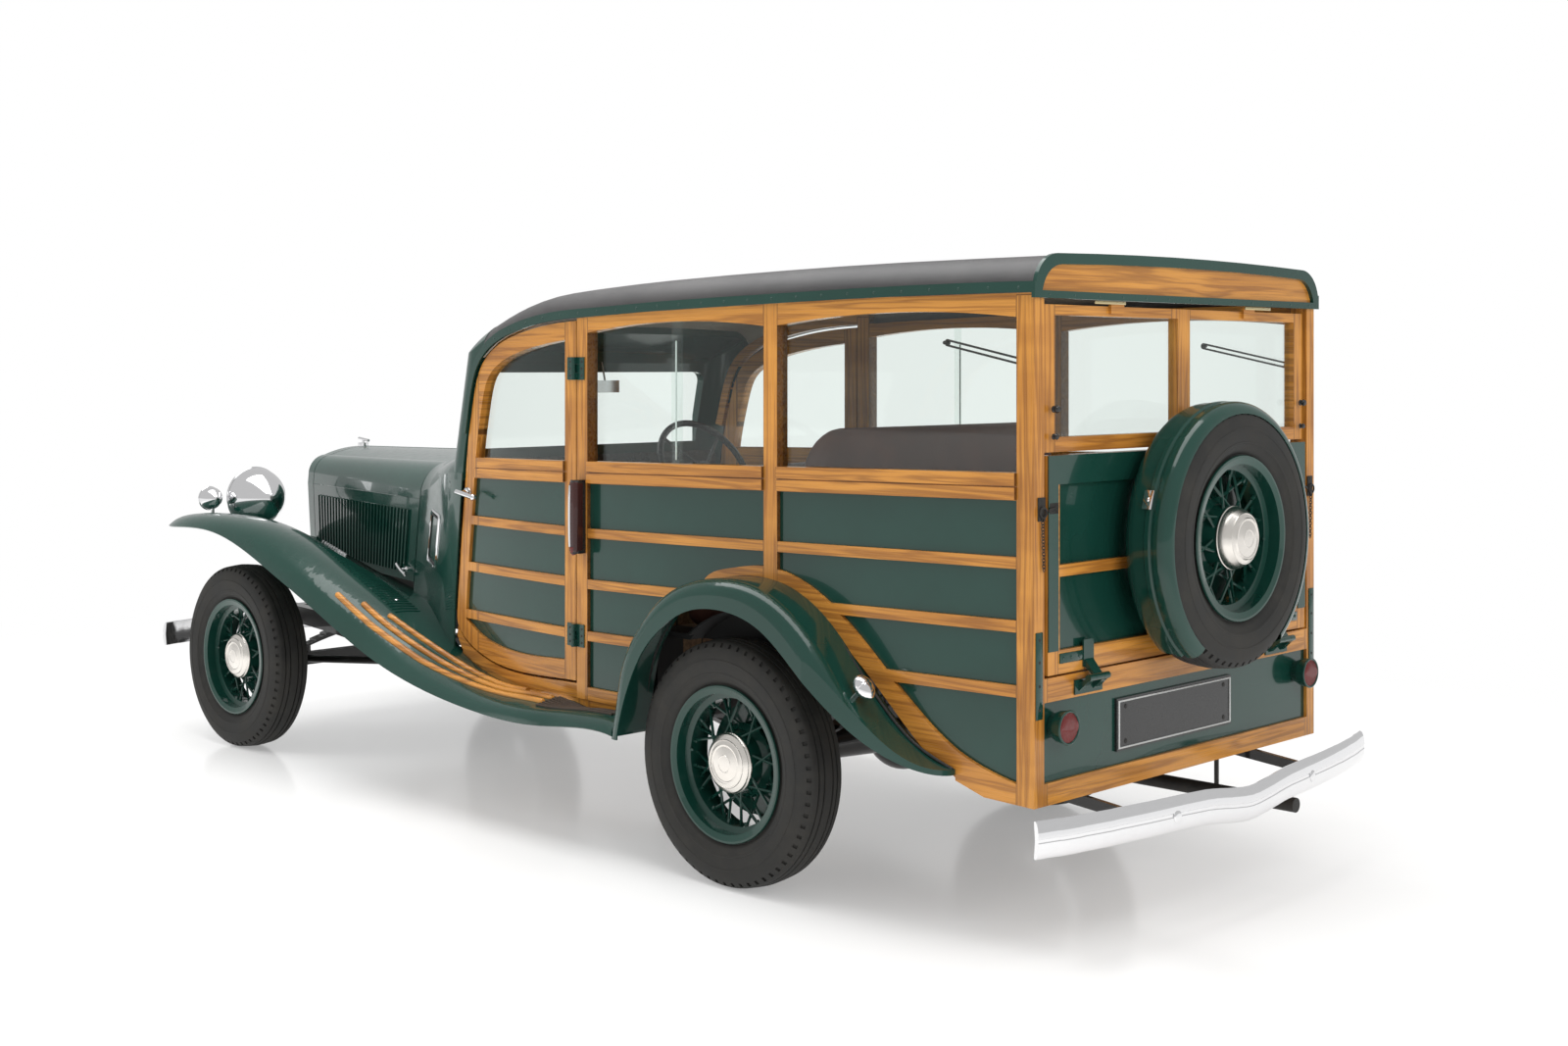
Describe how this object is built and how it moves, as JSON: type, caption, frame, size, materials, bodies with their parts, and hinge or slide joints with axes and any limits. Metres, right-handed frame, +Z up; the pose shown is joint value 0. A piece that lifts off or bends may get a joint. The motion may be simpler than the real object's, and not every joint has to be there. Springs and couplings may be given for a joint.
{
  "type": "station wagon",
  "caption": "Wood-bodied estate car with separate wings, wire wheels, a rear-mounted spare, opening doors, tailgate, lift window and bonnet, and steering.",
  "frame": {"origin": "on the ground under the middle of the car's length and width", "axes": "+X forward, +Y to the car's left, +Z up"},
  "size_m": [4.6456, 1.696, 1.7947],
  "materials": {
    "green_paint": "gloss",
    "ash_wood": "varnished",
    "black_paint": "gloss",
    "glass": "polished",
    "tyre": "matt",
    "leatherette": "grained",
    "chrome": "polished",
    "dark_steel": "satin",
    "cast_iron": "rough",
    "floor_board": "oiled",
    "leather": "satin",
    "black_plastic": "gloss"
  },
  "bodies": {
    "wagon": {"body_frame": "ash_wood", "body_panels": "green_paint", "body_glass": "glass", "body_fittings": "green_paint", "roof": "leatherette", "gutter": "green_paint", "cowl": "green_paint", "radiator_shell": "green_paint", "grille": "green_paint", "front_wings": "green_paint", "rear_wings": "green_paint", "rub_strips": "ash_wood", "bumpers": "chrome", "chassis": "black_paint", "front_axle": "black_paint", "rear_axle": "black_paint", "exhaust": "dark_steel", "engine": "cast_iron", "floor": "floor_board", "seats": "leather", "dashboard": "green_paint", "bright_fittings": "chrome", "dark_fittings": "black_paint", "bonnet_side_left": "green_paint", "bonnet_side_right": "green_paint"},
    "wheel_rear_left": {"wheel_rear_left": "green_paint", "tyre_rear_left": "tyre"},
    "wheel_rear_right": {"wheel_rear_right": "green_paint", "tyre_rear_right": "tyre"},
    "wheel_front_left": {"wheel_front_left": "green_paint", "tyre_front_left": "tyre"},
    "wheel_front_right": {"wheel_front_right": "green_paint", "tyre_front_right": "tyre"},
    "knuckle_left": {"knuckle_left": "black_paint"},
    "knuckle_right": {"knuckle_right": "black_paint"},
    "steering_wheel": {"steering_wheel": "black_plastic"},
    "door_left": {"door_left_frame": "ash_wood", "door_left_panel": "green_paint", "door_left_glass": "glass"},
    "door_right": {"door_right_frame": "ash_wood", "door_right_panel": "green_paint", "door_right_glass": "glass"},
    "tailgate": {"tailgate_frame": "ash_wood", "tailgate_panel": "green_paint", "spare_wheel": "green_paint", "spare_tyre": "tyre", "spare_cover": "green_paint"},
    "lift_window": {"lift_frame": "ash_wood", "lift_glass": "glass"},
    "bonnet_top_left": {"bonnet_top_left": "green_paint"},
    "bonnet_top_right": {"bonnet_top_right": "green_paint"}
  },
  "joints": [
    {"name": "rear_wheel_left_spin", "type": "hinge", "parent": "wagon", "child": "wheel_rear_left", "pos_m": [-1.0725, 0.72, 0.357], "axis": [0, 1, 0], "continuous": true},
    {"name": "front_wheel_left_spin", "type": "hinge", "parent": "knuckle_left", "child": "wheel_front_left", "pos_m": [1.7725, 0.678, 0.357], "axis": [0, 1, 0], "continuous": true},
    {"name": "rear_wheel_right_spin", "type": "hinge", "parent": "wagon", "child": "wheel_rear_right", "pos_m": [-1.0725, -0.72, 0.357], "axis": [0, 1, 0], "continuous": true},
    {"name": "front_wheel_right_spin", "type": "hinge", "parent": "knuckle_right", "child": "wheel_front_right", "pos_m": [1.7725, -0.678, 0.357], "axis": [0, 1, 0], "continuous": true},
    {"name": "steer_right", "type": "hinge", "parent": "wagon", "child": "knuckle_right", "pos_m": [1.7725, -0.56, 0.357], "axis": [0, 0, 1], "range_deg": [-28, 28]},
    {"name": "steer_left", "type": "hinge", "parent": "wagon", "child": "knuckle_left", "pos_m": [1.7725, 0.56, 0.357], "axis": [0, 0, 1], "range_deg": [-28, 28]},
    {"name": "steering_wheel_turn", "type": "hinge", "parent": "wagon", "child": "steering_wheel", "pos_m": [0.1975, -0.33, 1.112], "axis": [-0.8369, 0, 0.5473], "range_deg": [-364, 364]},
    {"name": "door_left_hinge", "type": "hinge", "parent": "wagon", "child": "door_left", "pos_m": [-0.2865, 0.69638, 1.065], "axis": [0, 0, 1], "range_deg": [0, 75]},
    {"name": "door_right_hinge", "type": "hinge", "parent": "wagon", "child": "door_right", "pos_m": [-0.2865, -0.69638, 1.065], "axis": [0, 0, -1], "range_deg": [0, 75]},
    {"name": "tailgate_hinge", "type": "hinge", "parent": "wagon", "child": "tailgate", "pos_m": [-2.1475, 0, 0.696], "axis": [0, -1, 0], "range_deg": [0, 80]},
    {"name": "lift_window_hinge", "type": "hinge", "parent": "wagon", "child": "lift_window", "pos_m": [-2.1095, 0, 1.664], "axis": [0, 1, 0], "range_deg": [0, 80]},
    {"name": "bonnet_top_left_hinge", "type": "hinge", "parent": "wagon", "child": "bonnet_top_left", "pos_m": [0.9025, 0, 1.1675], "axis": [0.9999, 0, -0.0129], "range_deg": [0, 60]},
    {"name": "bonnet_top_right_hinge", "type": "hinge", "parent": "wagon", "child": "bonnet_top_right", "pos_m": [0.9025, 0, 1.1675], "axis": [-0.9999, 0, 0.0129], "range_deg": [0, 60]}
  ],
  "couplings": [
    {"joint": "steer_left", "follows": "steer_right", "ratio": 1},
    {"joint": "steering_wheel_turn", "follows": "steer_right", "ratio": 13},
    {"joint": "lift_window_hinge", "follows": "tailgate_hinge", "ratio": 1}
  ]
}
